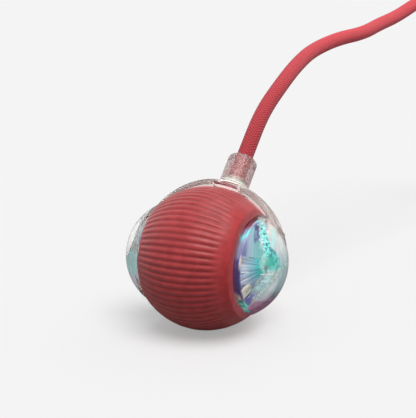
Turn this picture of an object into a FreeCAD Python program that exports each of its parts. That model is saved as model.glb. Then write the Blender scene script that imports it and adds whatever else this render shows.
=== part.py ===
import FreeCAD, Part

import math
import os

# Self-rolling cat ball with a rope tail. A motor inside a still, clear-ended body turns a ribbed
# tyre about the X axis, and the body drags the tail behind it, which keeps it from turning too.
# X runs along the axle, +Y to the back where the tail leaves, +Z up. Sizes are in millimetres.
# Everything but the tail is laid out about the ball's centre, one tread radius above the floor.

# Tyre, whose tread sets the proportions of the whole ball
tread_radius = 21.5
tread_wall = 1.5
shoulder_x = 0.6744 * tread_radius
lip_rise = 0.45
lip_thickness = 2.15
lip_x = shoulder_x + lip_rise
lip_hole_radius = 0.621 * tread_radius
shoulder_round = 0.6
rib_count = 66
rib_depth = 0.45
rib_groove_width = 1.5
rib_end_x = shoulder_x - 2.0

# Wheel drum under the tyre
drum_wall = 1.2
side_wall_outer_x = lip_x - lip_thickness
side_wall_thickness = 2.0
drum_split_x = side_wall_outer_x - 6.3
ring_ledge_thickness = 0.6
ring_ledge_rise = 1.15
bush_inset = 0.25
bush_wall = 0.85
glue_gap = 0.05
running_gap = 0.05
cut_margin = 1.0

# Still core inside the drum
bush_radius = lip_hole_radius - bush_inset
bush_bore = bush_radius - bush_wall
journal_radius = bush_bore - running_gap
core_radius = journal_radius + 0.8
core_wall = 1.0
core_split_x = side_wall_outer_x - 9.8
core_side_gap = 0.2
spigot_radius = journal_radius - 0.7
spigot_end_x = lip_x + 0.25
end_wall_thickness = 1.1
spigot_wall = 1.1
post_radius = 1.5
screw_radius = 0.6
screw_head_radius = 1.1
screw_head_height = 0.8
core_screw_bite = 6.0
screw_post_floor = 2.0
screw_end_gap = 0.3

# Side domes
dome_gap = 0.2
dome_rim_radius = 0.714 * tread_radius
dome_height = 0.465 * tread_radius
dome_wall = 1.5
dome_flange = 1.0
dome_neck_gap = 0.5

# Clear cowl over the back of the tyre
cowl_gap = 1.0
cowl_wall = 1.8
cowl_cheek_x = 0.9907 * tread_radius
cowl_front_angle = 70.0
cowl_lower_angle = -35.0
cowl_edge_round = 0.8
rebate_depth = 0.75
rebate_spread = 0.3
cowl_screw_x = 0.9023 * tread_radius
cowl_screw_angles = (28.0, -14.0)
cowl_screw_length = 4.2

# Collar and tail
collar_angle = 43.5
collar_radius = 4.7
collar_height = 12.6
collar_rim_round = 0.9
collar_flare = 2.2
collar_flare_height = 2.9
cord_diameter = 5.2
cord_gap = 0.1
plug_radius = 3.3
plug_thickness = 1.6
plug_depth = 8.3
retainer_thickness = 1.2
tip_radius = 3.3
tip_length = 11.0
tip_round = 2.2

# Gear train
ring_gear_gap = 1.4
ring_teeth = 72
second_small_teeth = 12
second_large_teeth = 22
first_small_teeth = 9
first_large_teeth = 24
motor_teeth = 9
second_idler_angle = 120.0
first_idler_angle = -50.0
motor_angle = -20.0
gear_layer_gap = 0.3
ring_gear_width = 1.8
idler_gear_width = 1.4
pin_radius = 0.6
gear_play = 0.05

# Motor, battery and gear plate
plate_thickness = 1.0
motor_can_radius = 4.0
motor_flat_share = 0.88
motor_end_gap = 1.05
motor_boss_radius = 1.5
motor_boss_length = 0.6
motor_shaft_radius = 0.5
battery_height = 6.0
battery_side_gap = 0.85
battery_end_gap = 1.0
battery_round = 1.0
pad_thickness = 0.5
rail_width = 1.2
rail_spacing = 9.0

# Control pod in the left dome
pod_radius = 6.6
pod_wall = 0.8
pod_face_thickness = 1.2
pod_stand_out = 0.15
pod_round = 0.5
shelf_thickness = 1.0
board_thickness = 0.8
board_top = 0.3
board_front_gap = 0.3
board_side_gap = 0.2
board_back_gap = 1.0
chip_size = (3.5, 3.6, 1.0)
chip_from_back = 4.0
port_width = 8.94
port_height = 3.2
port_length = 7.3
port_shell = 0.3
port_gap = 0.12
port_recess = 0.3
port_back_wall = 1.0
tongue_thickness = 0.7
tongue_inset = 1.2
tongue_setback = 1.0
switch_size = (3.0, 4.4, 4.0)
switch_gap = 0.1
button_radius = 1.7
button_height = 3.3
button_cap = 0.9
button_travel = 0.5
button_flange = 0.5
button_flange_rise = 0.5
button_round = 0.4

# Light parts behind the domes
film_thickness = 0.4
film_rim_width = 0.6
film_tilt = -16.0
film_upper_edge = 2.0
film_lower_edge = -6.6
film_lower_tilt = 4.0
led_radius = 1.5
led_length = 3.6
led_end_gap = 0.3
prism_sides = 12
prism_side_gap = 2.2
prism_girdle = 3.2
prism_height = 8.1
prism_table = 2.0
prism_gap = 0.2
boss_gap = 0.2
bracket_thickness = 0.8
bracket_width = 2.6
bracket_length = 7.8
bracket_rise = -7.0
bracket_tilt = 6.5
bracket_hole_radius = 0.5
bracket_hole_places = (4.4, 5.9)
bracket_slot_gap = 0.2

# Sizes that follow from those above
drum_radius = tread_radius - tread_wall
drum_inner = drum_radius - drum_wall
side_wall_inner_x = side_wall_outer_x - side_wall_thickness
core_bore = core_radius - core_wall
core_shoulder_x = side_wall_inner_x - core_side_gap
journal_end_x = side_wall_outer_x + core_side_gap / 2.0
ring_x = core_split_x + plate_thickness + gear_layer_gap
second_large_x = ring_x + ring_gear_width + gear_layer_gap
first_large_x = second_large_x + idler_gear_width + gear_layer_gap
gear_end_x = first_large_x + idler_gear_width
gear_module = 2.0 * (core_radius + ring_gear_gap) / ring_teeth
dome_rim_x = lip_x + dome_gap
dome_pole_x = dome_rim_x + dome_height
dome_centre_x = (dome_pole_x ** 2 - dome_rim_x ** 2 - dome_rim_radius ** 2) / (2.0 * dome_height)
dome_radius = dome_pole_x - dome_centre_x
dome_neck_radius = lip_hole_radius - dome_neck_gap
dome_neck_bore = spigot_radius + glue_gap
cowl_inner = tread_radius + cowl_gap
cowl_outer = cowl_inner + cowl_wall
collar_rim = cowl_outer + collar_height
cord_radius = cord_diameter / 2.0
collar_bore = cord_radius + cord_gap
plug_face = collar_rim - plug_depth
spigot_bore = spigot_radius - spigot_wall
prism_radius = spigot_bore - prism_side_gap
film_x = dome_rim_x + dome_flange
film_radius = math.sqrt((dome_radius - dome_wall) ** 2 - (film_x + film_thickness - dome_centre_x) ** 2)
film_radius = film_radius - glue_gap
film_bore = film_radius - film_rim_width
post_ring = core_radius - core_wall / 2.0 - post_radius
battery_floor = post_radius + pad_thickness + 2.0 * glue_gap - post_ring
pod_face_x = -(dome_centre_x + math.sqrt(dome_radius ** 2 - pod_radius ** 2) + pod_stand_out)

AXLE = FreeCAD.Vector(1, 0, 0)
CENTRE = FreeCAD.Vector(0, 0, 0)


def point(x, y, z):
    return FreeCAD.Vector(x, y, z)


def spoke(radius, degrees, x=0.0):
    """A point at a radius and an angle about the axle, from +Y towards +Z."""
    turn = math.radians(degrees)
    return point(x, radius * math.cos(turn), radius * math.sin(turn))


def on_ball(radius, x, centre_x=0.0):
    """The height above the axle of a sphere's surface at x."""
    return math.sqrt(radius ** 2 - (x - centre_x) ** 2)


def outline(start, *steps):
    """A closed wire in the XZ plane. A step is a corner, or a pair: a point passed, and the end."""
    edges = []
    here = start
    for step in steps + (start,):
        curved = isinstance(step[0], tuple)
        there = step[1] if curved else step
        first = point(here[0], 0, here[1])
        last = point(there[0], 0, there[1])
        if curved:
            middle = point(step[0][0], 0, step[0][1])
            edges.append(Part.Arc(first, middle, last).toShape())
        elif (first - last).Length > 1e-6:
            edges.append(Part.LineSegment(first, last).toShape())
        here = there
    return Part.Wire(edges)


def turned(start, *steps, angle=360.0, begin=0.0):
    """An outline of (x, radius) corners turned about the axle."""
    solid = Part.Face(outline(start, *steps)).revolve(CENTRE, AXLE, angle)
    solid.rotate(CENTRE, AXLE, begin)
    return solid


def rod(radius, x_from, x_to, centre=(0.0, 0.0)):
    """A round bar along the axle's direction, its centre given as (y, z)."""
    return Part.makeCylinder(radius, x_to - x_from, point(x_from, centre[0], centre[1]), AXLE)


def tube(outer, inner, x_from, x_to, centre=(0.0, 0.0)):
    return rod(outer, x_from, x_to, centre).cut(rod(inner, x_from, x_to, centre))


def block(x_from, x_to, y_from, y_to, z_from, z_to):
    return Part.makeBox(x_to - x_from, y_to - y_from, z_to - z_from, point(x_from, y_from, z_from))


def mirrored(shape):
    return shape.mirror(CENTRE, AXLE)


def round_edges(shape, radius, wanted):
    """Fillets the edges for which wanted(edge) holds."""
    chosen = [edge for edge in shape.Edges if wanted(edge)]
    return shape.makeFillet(radius, chosen)


def keep(node, shape, about_centre=True):
    """Writes one node, lifted so that the tread touches the floor at z = 0."""
    solid = shape.copy()
    if about_centre:
        solid.translate(point(0, 0, tread_radius))
    if not solid.isValid():
        print("not valid:", node)
    solid.exportStep(os.path.join("parts", node + ".step"))


def toothed(teeth, phase, x_from, x_to, bore=0.0, rim=0.0, centre=(0.0, 0.0)):
    """A spur gear with straight-flanked teeth, one tooth centred at the phase angle in degrees.
    With a rim radius it is an internal gear, whose teeth point inwards."""
    pitch_radius = gear_module * teeth / 2.0
    inward = -1.0 if rim else 1.0
    tooth_half = 0.44 * math.pi * gear_module / 2.0
    lean = math.tan(math.radians(20.0))
    tip = 0.9 * gear_module
    root = 1.15 * gear_module
    corners = []
    for number in range(teeth):
        middle = math.radians(phase) + 2.0 * math.pi * number / teeth
        rows = (
            (-1, -root, tooth_half + root * lean),
            (-1, tip, tooth_half - tip * lean),
            (1, tip, tooth_half - tip * lean),
            (1, -root, tooth_half + root * lean),
        )
        for side, height, half in rows:
            radius = pitch_radius + inward * height
            angle = middle + side * half / pitch_radius
            y = centre[0] + radius * math.cos(angle)
            z = centre[1] + radius * math.sin(angle)
            corners.append(point(x_from, y, z))
    profile = Part.Face(Part.makePolygon(corners + corners[:1]))
    body = profile.extrude(point(x_to - x_from, 0, 0))
    if rim:
        return rod(rim, x_from, x_to, centre).cut(body)
    if bore:
        body = body.cut(rod(bore, x_from, x_to, centre))
    return body


def tyre():
    """Silicone belt: a ball cut by two side faces, ribbed along its meridians."""
    shoulder = on_ball(tread_radius, shoulder_x)
    seat = on_ball(drum_radius, side_wall_outer_x)
    belt = turned(
        (-shoulder_x, shoulder),
        ((0.0, tread_radius), (shoulder_x, shoulder)),
        (lip_x, lip_hole_radius),
        (side_wall_outer_x, lip_hole_radius),
        (side_wall_outer_x, seat),
        ((0.0, drum_radius), (-side_wall_outer_x, seat)),
        (-side_wall_outer_x, lip_hole_radius),
        (-lip_x, lip_hole_radius),
    )

    def at_shoulder(edge):
        box = edge.BoundBox
        return box.XLength < 0.01 and abs(box.ZLength - 2.0 * shoulder) < 0.01

    belt = round_edges(belt, shoulder_round, at_shoulder)
    # A groove runs along an arc that is flatter than the ball, so it fades out at its two ends
    end_height = on_ball(tread_radius, rib_end_x)
    floor = tread_radius - rib_depth
    drop = ((rib_end_x ** 2 + end_height ** 2 - floor ** 2) / (floor - end_height)) / 2.0
    top = drop + tread_radius + rib_depth
    flank = rib_groove_width / 2.0 / rib_depth
    reach = math.degrees(math.asin(rib_end_x / (drop + floor))) + 2.0
    depth = top - drop - floor
    corners = [
        point(0, 0, drop + floor),
        point(0, depth * flank, top),
        point(0, -depth * flank, top),
    ]
    groove = Part.Face(Part.makePolygon(corners + corners[:1]))
    groove = groove.revolve(CENTRE, point(0, 1, 0), 2.0 * reach)
    groove.rotate(CENTRE, point(0, 1, 0), -reach)
    groove.translate(point(0, 0, -drop))
    grooves = []
    for number in range(rib_count):
        copy = groove.copy()
        copy.rotate(CENTRE, AXLE, 360.0 * (number + 0.5) / rib_count)
        grooves.append(copy)
    return belt.cut(grooves)


def drum_shell(x_split, sign):
    """One half of the drum, from its split to its side wall on the side of sign."""
    outer_end = on_ball(drum_radius, side_wall_outer_x)
    inner_end = on_ball(drum_inner, side_wall_inner_x)
    middle = (x_split + sign * side_wall_outer_x) / 2.0
    bore = bush_radius + glue_gap / 2.0
    return turned(
        (x_split, on_ball(drum_radius, x_split)),
        ((middle, on_ball(drum_radius, middle)), (sign * side_wall_outer_x, outer_end)),
        (sign * side_wall_outer_x, bore),
        (sign * side_wall_inner_x, bore),
        (sign * side_wall_inner_x, inner_end),
        ((middle, on_ball(drum_inner, middle)), (x_split, on_ball(drum_inner, x_split))),
    )


ring_rim = on_ball(drum_inner, drum_split_x) - ring_ledge_rise / 3.0


def drum_left():
    """The larger drum half, with the ledge that the drive ring is glued into."""
    back = ring_x - ring_ledge_thickness
    ledge = turned(
        (back, ring_rim - ring_ledge_rise),
        (back, on_ball(drum_inner + drum_wall / 2.0, back)),
        (drum_split_x, on_ball(drum_inner + drum_wall / 2.0, drum_split_x)),
        (drum_split_x, ring_rim + glue_gap),
        (ring_x, ring_rim + glue_gap),
        (ring_x, ring_rim - ring_ledge_rise),
    )
    return drum_shell(drum_split_x, -1).fuse(ledge).removeSplitter()


def bush():
    return tube(bush_radius, bush_bore, side_wall_inner_x, side_wall_outer_x)


def place(distance, degrees, start=(0.0, 0.0)):
    turn = math.radians(degrees)
    return (start[0] + distance * math.cos(turn), start[1] + distance * math.sin(turn))


def mesh_distance(teeth, other):
    return gear_module * (teeth + other) / 2.0


second_centre = place(mesh_distance(ring_teeth, -second_small_teeth), second_idler_angle)
first_centre = place(
    mesh_distance(second_large_teeth, first_small_teeth), first_idler_angle, second_centre
)
motor_centre = place(mesh_distance(first_large_teeth, motor_teeth), motor_angle, first_centre)


def drive_ring():
    """Internal gear inside the drum, with a gap between teeth facing the second idler."""
    phase = second_idler_angle + 180.0 / ring_teeth
    return toothed(ring_teeth, phase, ring_x, ring_x + ring_gear_width, rim=ring_rim)


def second_idler():
    bore = pin_radius + gear_play
    small = toothed(
        second_small_teeth, second_idler_angle, ring_x, second_large_x, bore, centre=second_centre
    )
    large = toothed(
        second_large_teeth,
        first_idler_angle,
        second_large_x,
        second_large_x + idler_gear_width,
        bore,
        centre=second_centre,
    )
    return small.fuse(large)


def first_idler():
    bore = pin_radius + gear_play
    small = toothed(
        first_small_teeth,
        first_idler_angle + 180.0 + 180.0 / first_small_teeth,
        second_large_x,
        first_large_x,
        bore,
        centre=first_centre,
    )
    large = toothed(
        first_large_teeth, motor_angle, first_large_x, gear_end_x, bore, centre=first_centre
    )
    return small.fuse(large)


def motor_pinion():
    """The brass pinion together with the steel shaft that it is pressed on."""
    phase = motor_angle + 180.0 + 180.0 / motor_teeth
    pinion = toothed(motor_teeth, phase, first_large_x, gear_end_x, centre=motor_centre)
    shaft = rod(motor_shaft_radius, core_split_x + motor_boss_length, gear_end_x, motor_centre)
    return pinion.fuse(shaft)


post_angles = (0.0, 180.0, 270.0)


def posts(x_from, x_to):
    return [rod(post_radius, x_from, x_to, place(post_ring, angle)) for angle in post_angles]


def cut_rods(shape, radius, x_from, x_to, centres):
    return shape.cut([rod(radius, x_from, x_to, centre) for centre in centres])


def core_half(split_x, sign):
    """A cup with a journal for the wheel's bush and a spigot that the dome is glued over."""
    wall_x = sign * (core_shoulder_x - end_wall_thickness / 2.0)
    outer_wall_x = wall_x + sign * end_wall_thickness
    return turned(
        (split_x, core_radius),
        (sign * core_shoulder_x, core_radius),
        (sign * core_shoulder_x, journal_radius),
        (sign * journal_end_x, journal_radius),
        (sign * journal_end_x, spigot_radius),
        (sign * spigot_end_x, spigot_radius),
        (sign * spigot_end_x, spigot_bore),
        (outer_wall_x, spigot_bore),
        (outer_wall_x, 0.0),
        (wall_x, 0.0),
        (wall_x, core_bore),
        (split_x, core_bore),
    )


right_wall_x = core_shoulder_x - end_wall_thickness / 2.0
right_floor_x = right_wall_x + end_wall_thickness
left_wall_x = -right_wall_x
left_floor_x = -right_floor_x
motor_back_x = left_wall_x + motor_end_gap


def core_right():
    """Gearbox half: posts for the screws, pin seats and a window for the second idler."""
    core = core_half(core_split_x, 1)
    core = core.fuse(posts(core_split_x + plate_thickness, right_wall_x))
    window = rod(
        gear_module * (second_large_teeth / 2.0 + 1.0) + gear_layer_gap,
        core_split_x + plate_thickness,
        first_large_x - gear_layer_gap / 2.0,
        second_centre,
    )
    core = core.cut(window)
    core = cut_rods(core, pin_radius, core_split_x, right_wall_x + end_wall_thickness / 2.0,
                    (second_centre, first_centre))
    holes = [place(post_ring, angle) for angle in post_angles]
    core = cut_rods(core, screw_radius + glue_gap, core_split_x, right_floor_x, holes)
    head_seat = right_floor_x - screw_head_height
    return cut_rods(core, screw_head_radius + glue_gap, head_seat, right_floor_x, holes)


def core_left():
    """Battery half: screw posts, two battery rails and the socket of the control pod."""
    core = core_half(core_split_x, -1)
    core = core.fuse(posts(left_wall_x, core_split_x))
    rails = []
    for side in (-1, 1):
        middle = side * rail_spacing / 2.0
        rail = block(left_wall_x, core_split_x - battery_end_gap, middle - rail_width / 2.0,
                     middle + rail_width / 2.0, -core_radius, battery_floor - pad_thickness)
        rails.append(rail.common(rod(core_radius - core_wall / 2.0, left_wall_x, core_split_x)))
    core = core.fuse(rails)
    board_slot = block(left_floor_x - cut_margin, left_wall_x + cut_margin, -pod_radius, pod_radius,
                       board_top - board_thickness - glue_gap, board_top + glue_gap)
    core = core.cut(board_slot)
    holes = [place(post_ring, angle) for angle in post_angles]
    return cut_rods(core, screw_radius + glue_gap / 2.0, left_wall_x + screw_post_floor, core_split_x, holes)


def core_screws():
    screws = []
    for angle in post_angles:
        centre = place(post_ring, angle)
        head = rod(screw_head_radius, right_floor_x - screw_head_height, right_floor_x, centre)
        shank = rod(screw_radius, core_split_x - core_screw_bite, right_floor_x, centre)
        screws.append(head.fuse(shank))
    return Part.makeCompound(screws)


def gear_plate():
    """The plate between motor and gears, held between the two core halves."""
    disc = rod(core_radius - core_wall - glue_gap, core_split_x, core_split_x + plate_thickness)
    disc = disc.cut(rod(motor_boss_radius + glue_gap, core_split_x, ring_x, motor_centre))
    disc = cut_rods(disc, pin_radius, core_split_x, ring_x, (second_centre, first_centre))
    post_seats = [place(post_ring, angle) for angle in post_angles]
    return cut_rods(disc, screw_radius + glue_gap, core_split_x, ring_x, post_seats)


def gear_pins():
    """Steel pins that the two idlers turn on."""
    pins = []
    for centre in (second_centre, first_centre):
        pins.append(rod(pin_radius, core_split_x, right_wall_x + end_wall_thickness / 2.0, centre))
    return Part.makeCompound(pins)


def motor():
    """Small can motor with its flats, front boss and rear terminals."""
    back = motor_back_x
    can = rod(motor_can_radius, back, core_split_x, motor_centre)
    flat = motor_can_radius * motor_flat_share
    for side in (-1, 1):
        low = motor_centre[1] + side * flat
        far = motor_centre[1] + side * 2.0 * motor_can_radius
        can = can.cut(block(back, core_split_x, motor_centre[0] - motor_can_radius,
                            motor_centre[0] + motor_can_radius, min(low, far), max(low, far)))
    boss = rod(motor_boss_radius, core_split_x, core_split_x + motor_boss_length, motor_centre)
    cap = rod(motor_boss_radius, back - motor_boss_length, back, motor_centre)
    return can.fuse([boss, cap])


def battery():
    half = on_ball(core_bore, battery_floor) - battery_side_gap
    cell = block(motor_back_x, core_split_x - battery_end_gap, -half, half, battery_floor,
                 battery_floor + battery_height)
    cell = round_edges(cell, battery_round, lambda edge: edge.BoundBox.YLength < 0.01
                       and edge.BoundBox.ZLength < 0.01)
    return cell


def battery_pad():
    half = rail_spacing / 2.0 + rail_width
    return block(motor_back_x, core_split_x - battery_end_gap, -half, half, battery_floor - pad_thickness,
                 battery_floor)


def dome_shell():
    """The clear dome of the right side, whose neck passes the tyre's lip and fits the spigot."""
    floor_x = dome_rim_x + dome_flange
    inner = dome_radius - dome_wall
    neck_x = journal_end_x + core_side_gap / 2.0
    outer_middle = (dome_rim_x + dome_pole_x) / 2.0
    pole_in = dome_centre_x + inner
    inner_middle = (floor_x + pole_in) / 2.0
    return turned(
        (dome_pole_x, 0.0),
        ((outer_middle, on_ball(dome_radius, outer_middle, dome_centre_x)),
         (dome_rim_x, dome_rim_radius)),
        (dome_rim_x, dome_neck_radius),
        (neck_x, dome_neck_radius),
        (neck_x, dome_neck_bore),
        (floor_x, dome_neck_bore),
        (floor_x, on_ball(inner, floor_x, dome_centre_x)),
        ((inner_middle, on_ball(inner, inner_middle, dome_centre_x)), (pole_in, 0.0)),
    )


def cowl_zone(inner, outer, cheek_x, spread):
    """A slice of a spherical shell over the back of the ball."""
    return turned(
        (-cheek_x, on_ball(outer, cheek_x)),
        ((0.0, outer), (cheek_x, on_ball(outer, cheek_x))),
        (cheek_x, on_ball(inner, cheek_x)),
        ((0.0, inner), (-cheek_x, on_ball(inner, cheek_x))),
        angle=cowl_front_angle - cowl_lower_angle + 2.0 * spread,
        begin=cowl_lower_angle - spread - 90.0,
    )


def dome_seats(shrink):
    """The two balls that the cowl's cheeks rest on, a rebate's depth inside the domes."""
    return [Part.makeSphere(dome_radius - shrink, point(side * dome_centre_x, 0, 0))
            for side in (-1, 1)]


def cowl_screw_places():
    """Head centre and inward direction of each cowl screw."""
    places = []
    for side in (-1, 1):
        for angle in cowl_screw_angles:
            head = spoke(on_ball(cowl_outer, cowl_screw_x), angle, side * cowl_screw_x)
            inward = point(side * dome_centre_x, 0, 0) - head
            inward.normalize()
            places.append((head, inward))
    return places


def dome(side):
    """A dome with the rebate, screw bosses and, on the left, the opening for the control pod."""
    shell = dome_shell() if side > 0 else mirrored(dome_shell())
    clearance = glue_gap
    rebate = cowl_zone(cowl_inner - clearance, cowl_outer + cowl_wall, cowl_cheek_x + clearance,
                       rebate_spread)
    rebate = rebate.cut(dome_seats(rebate_depth + clearance))
    shell = shell.cut(rebate)
    for head, inward in cowl_screw_places():
        if head.x * side > 0:
            start = head + inward * (cowl_outer - cowl_inner)
            boss = Part.makeCylinder(screw_head_radius, cowl_screw_length - cowl_wall, start, inward)
            seat = Part.makeSphere(dome_radius - rebate_depth - clearance,
                                   point(side * dome_centre_x, 0, 0))
            shell = shell.fuse(boss.common(seat))
            shell = shell.cut(Part.makeCylinder(screw_radius + glue_gap / 2.0, cowl_screw_length,
                                                head, inward))
    if side < 0:
        shell = shell.cut(rod(pod_radius + glue_gap, -dome_pole_x - cut_margin, left_floor_x))
    return shell


def tail_frame():
    """Direction of the collar, and a point on its axis at a distance from the ball's centre."""
    return spoke(1.0, collar_angle)


def on_tail(distance):
    return tail_frame() * distance


def tail_cylinder(radius, start, end):
    return Part.makeCylinder(radius, end - start, on_tail(start), tail_frame())


def tail_cowl():
    """Clear cowl that bridges the tyre from dome to dome, with the collar moulded on it."""
    cowl = cowl_zone(cowl_inner, cowl_outer, cowl_cheek_x, 0.0)

    def front_or_lower(edge):
        angles = []
        for vertex in edge.Vertexes:
            angles.append(math.degrees(math.atan2(vertex.Point.z, vertex.Point.y)))
        if len(angles) < 2 or abs(angles[0] - angles[1]) > 0.01:
            return False
        outer = all(abs(vertex.Point.Length - cowl_outer) < 0.01 for vertex in edge.Vertexes)
        return outer and edge.Length > cowl_cheek_x

    cowl = round_edges(cowl, cowl_edge_round, front_or_lower)
    cowl = cowl.cut(dome_seats(rebate_depth))
    foot = (cowl_inner + cowl_outer) / 2.0
    collar = tail_cylinder(collar_radius, foot, collar_rim)
    collar = round_edges(collar, collar_rim_round, lambda edge: edge.Closed
                         and (edge.CenterOfMass - on_tail(collar_rim)).Length < 0.01)
    cone_top = cowl_outer + collar_flare_height
    flare = Part.makeCone(collar_radius + collar_flare, collar_radius, cone_top - foot,
                          on_tail(foot), tail_frame())
    hollow = Part.makeSphere(cowl_inner, CENTRE)
    cowl = cowl.fuse([collar, flare.cut(hollow)])
    seat_radius = plug_radius + cord_gap
    cowl = cowl.cut(tail_cylinder(collar_bore, foot - cowl_wall, collar_rim + cut_margin))
    cowl = cowl.cut(tail_cylinder(seat_radius, cowl_inner - cowl_gap / 2.0, plug_face))
    for head, inward in cowl_screw_places():
        start = head - inward * cut_margin
        seat = Part.makeCylinder(screw_head_radius + glue_gap, cut_margin + screw_head_height, start, inward)
        hole = Part.makeCylinder(screw_radius + glue_gap, cowl_screw_length, head, inward)
        cowl = cowl.cut([seat, hole])
    return cowl.removeSplitter()


def cowl_screws():
    screws = []
    for head, inward in cowl_screw_places():
        cap = Part.makeCylinder(screw_head_radius, screw_head_height - glue_gap, head + inward * glue_gap,
                                inward)
        shank = Part.makeCylinder(screw_radius, cowl_screw_length - screw_end_gap, head + inward * glue_gap,
                                  inward)
        screws.append(cap.fuse(shank))
    return Part.makeCompound(screws)


def tail_plug():
    """White disc crimped on the rope's end, which cannot pass the collar's bore."""
    return tail_cylinder(plug_radius, plug_face - plug_thickness, plug_face)


def tail_retainer():
    """Clear ring pressed in under the plug."""
    top = plug_face - plug_thickness
    ring = tail_cylinder(plug_radius + cord_gap / 2.0, top - retainer_thickness, top)
    return ring.cut(tail_cylinder(plug_radius / 2.0, top - retainer_thickness, top))


# Route of the tail above the floor: out of the plug, up and back, then over and down to the floor
tail_route = [
    on_tail(plug_face) + point(0, 0, tread_radius),
    on_tail(collar_rim + 4.1) + point(0, 0, tread_radius),
    point(-0.5, 43.0, 60.5),
    point(0.5, 58.5, 69.0),
    point(0.0, 73.0, 74.0),
    point(0.0, 88.0, 78.0),
    point(4.0, 104.5, 81.5),
    point(9.0, 120.5, 83.0),
    point(11.0, 135.5, 86.0),
    point(13.5, 151.0, 88.5),
    point(19.0, 168.5, 95.0),
    point(22.0, 184.0, 95.5),
    point(24.0, 198.5, 88.0),
    point(25.0, 208.0, 75.0),
    point(25.5, 213.0, 59.0),
    point(26.0, 216.5, 42.5),
    point(27.5, 221.5, 27.0),
    point(29.5, 231.0, 13.5),
    point(31.0, 244.5, 5.5),
    point(33.0, 260.0, 3.4),
    point(35.0, 273.5, 3.4),
]


def cord_tube():
    """Straight runs joined by the largest tangent arcs, swept with the cord's round section."""
    edges = []
    radii = []
    here = tail_route[0]
    for before, corner, after in zip(tail_route, tail_route[1:], tail_route[2:]):
        into = corner - before
        out_of = after - corner
        turn = into.getAngle(out_of)
        reach = 0.45 * min(into.Length, out_of.Length)
        radius = reach / math.tan(turn / 2.0)
        radii.append(radius)
        start = corner - into.normalize() * reach
        end = corner + out_of.normalize() * reach
        bisector = (out_of - into).normalize()
        middle = corner + bisector * (radius / math.cos(turn / 2.0) - radius)
        edges.append(Part.LineSegment(here, start).toShape())
        edges.append(Part.Arc(start, middle, end).toShape())
        here = end
    edges.append(Part.LineSegment(here, tail_route[-1]).toShape())
    path = Part.Wire(edges)
    first = tail_route[1] - tail_route[0]
    section = Part.Wire([Part.makeCircle(cord_radius, tail_route[0], first)])
    swept = path.makePipeShell([section], True, False)
    expected = math.pi * cord_radius ** 2 * path.Length
    print("cord radii", [round(value, 1) for value in radii])
    print("cord length", round(path.Length, 1), "volume ratio", round(swept.Volume / expected, 5))
    return swept


def tail_tip():
    """Moulded end sleeve of the rope, lying on the floor."""
    end = tail_route[-1]
    direction = (tail_route[-1] - tail_route[-2]).normalize()
    sleeve = Part.makeCylinder(tip_radius, tip_length, end, direction)
    far = end + direction * tip_length
    return round_edges(sleeve, tip_round, lambda edge: edge.Closed
                       and (edge.CenterOfMass - far).Length < 0.01)


def control_pod():
    """White housing through the left dome's pole, with the port opening and the button's hole."""
    face_inner = pod_face_x + pod_face_thickness
    pod = rod(pod_radius, pod_face_x, left_floor_x)
    pod = round_edges(pod, pod_round, lambda edge: edge.Closed
                      and abs(edge.CenterOfMass.x - pod_face_x) < 0.01)
    pod = pod.cut(rod(pod_radius - pod_wall, face_inner, left_floor_x))
    pod = pod.cut(port_body(pod_face_x - cut_margin, face_inner, port_gap))
    button_bore = button_radius + running_gap
    pod = pod.cut(rod(button_bore, pod_face_x - cut_margin, face_inner, (0.0, button_height)))
    shelf = block(face_inner, left_floor_x, -pod_radius + pod_wall / 2.0, pod_radius - pod_wall / 2.0,
                  board_top - board_thickness - shelf_thickness, board_top - board_thickness)
    shelf = shelf.common(tube(pod_radius - pod_wall / 2.0, pod_radius - 2.0 * pod_wall,
                              face_inner, left_floor_x))
    return pod.fuse(shelf)


port_centre_z = board_top - board_thickness - port_height / 2.0


def port_body(x_from, x_to, grow):
    """Rounded bar with the outline of the charging receptacle."""
    height = port_height + 2.0 * grow
    width = port_width + 2.0 * grow
    middle = block(x_from, x_to, -(width - height) / 2.0, (width - height) / 2.0,
                   port_centre_z - height / 2.0, port_centre_z + height / 2.0)
    ends = [rod(height / 2.0, x_from, x_to, (side * (width - height) / 2.0, port_centre_z))
            for side in (-1, 1)]
    return middle.fuse(ends).removeSplitter()


def charge_port():
    """Receptacle under the board: a thin shell with its contact tongue."""
    mouth = pod_face_x + port_recess
    shell = port_body(mouth, mouth + port_length, 0.0)
    shell = shell.cut(port_body(mouth, mouth + port_length - port_back_wall, -port_shell))
    half = port_width / 2.0 - tongue_inset
    tongue = block(mouth + tongue_setback, mouth + port_length - port_back_wall / 2.0, -half, half,
                   port_centre_z - tongue_thickness / 2.0, port_centre_z + tongue_thickness / 2.0)
    return shell.fuse(tongue)


board_back_x = left_wall_x + board_back_gap
board_front_x = pod_face_x + pod_face_thickness + board_front_gap


def circuit_board():
    half = pod_radius - pod_wall - board_side_gap
    board = block(board_front_x, board_back_x, -half, half, board_top - board_thickness, board_top)
    length, width, height = chip_size
    chip_end = board_back_x - chip_from_back
    chip = block(chip_end - length, chip_end, -width / 2.0, width / 2.0, board_top, board_top + height)
    return board.fuse(chip)


button_back_x = pod_face_x + pod_face_thickness + button_flange


def power_button():
    """Cap that stands a little proud of the pod, with a flange behind the face."""
    centre = (0.0, button_height)
    play = running_gap
    cap = rod(button_radius, pod_face_x - button_cap, button_back_x, centre)
    cap = round_edges(cap, button_round, lambda edge: edge.Closed
                      and abs(edge.CenterOfMass.x - pod_face_x + button_cap) < 0.01)
    flange = rod(button_radius + button_flange_rise, pod_face_x + pod_face_thickness + play,
                 button_back_x, centre)
    return cap.fuse(flange)


def power_switch():
    """Side-pushed switch on the board, behind the button."""
    length, width, height = switch_size
    front = button_back_x + button_travel + switch_gap
    body = block(front, front + length, -width / 2.0, width / 2.0, board_top, board_top + height)
    return body


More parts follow.
